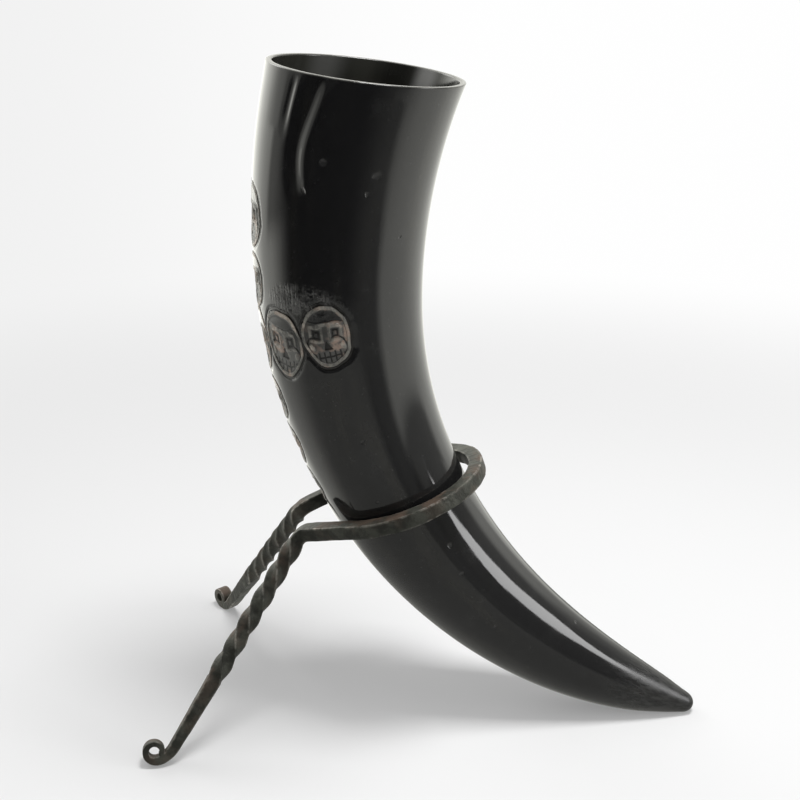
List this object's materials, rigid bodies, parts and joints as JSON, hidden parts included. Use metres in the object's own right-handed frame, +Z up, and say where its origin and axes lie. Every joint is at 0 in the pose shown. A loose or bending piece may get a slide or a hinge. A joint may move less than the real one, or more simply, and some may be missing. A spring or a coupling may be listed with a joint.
{
  "type": "drinking horn on a stand",
  "caption": "Curved black horn cup leaning mouth-up through the hoop of a forged iron stand with twisted legs and scroll feet; the horn draws out of the hoop along its own curve.",
  "frame": {"origin": "centre of the overall box at the level of the table that the feet and the tip stand on", "axes": "+Z up, +X from the legs toward the tip of the horn, +Y toward the left leg"},
  "size_m": [0.2448, 0.1454, 0.2916],
  "materials": {
    "horn": "polished natural black horn, matte tan where carved",
    "forged_iron": "forged black iron, satin, rust-brown on its upper faces and worn bright along its edges"
  },
  "bodies": {
    "stand": {"hoop": "forged_iron", "left_leg": "forged_iron", "right_leg": "forged_iron", "left_scroll_foot": "forged_iron", "right_scroll_foot": "forged_iron"},
    "horn": {"horn": "horn"}
  },
  "joints": [
    {"name": "horn_draw_out", "type": "hinge", "parent": "stand", "child": "horn", "pos_m": [0.16237, -0.00011, 0.20216], "axis": [0, 1, 0], "range_deg": [0, 54]}
  ]
}
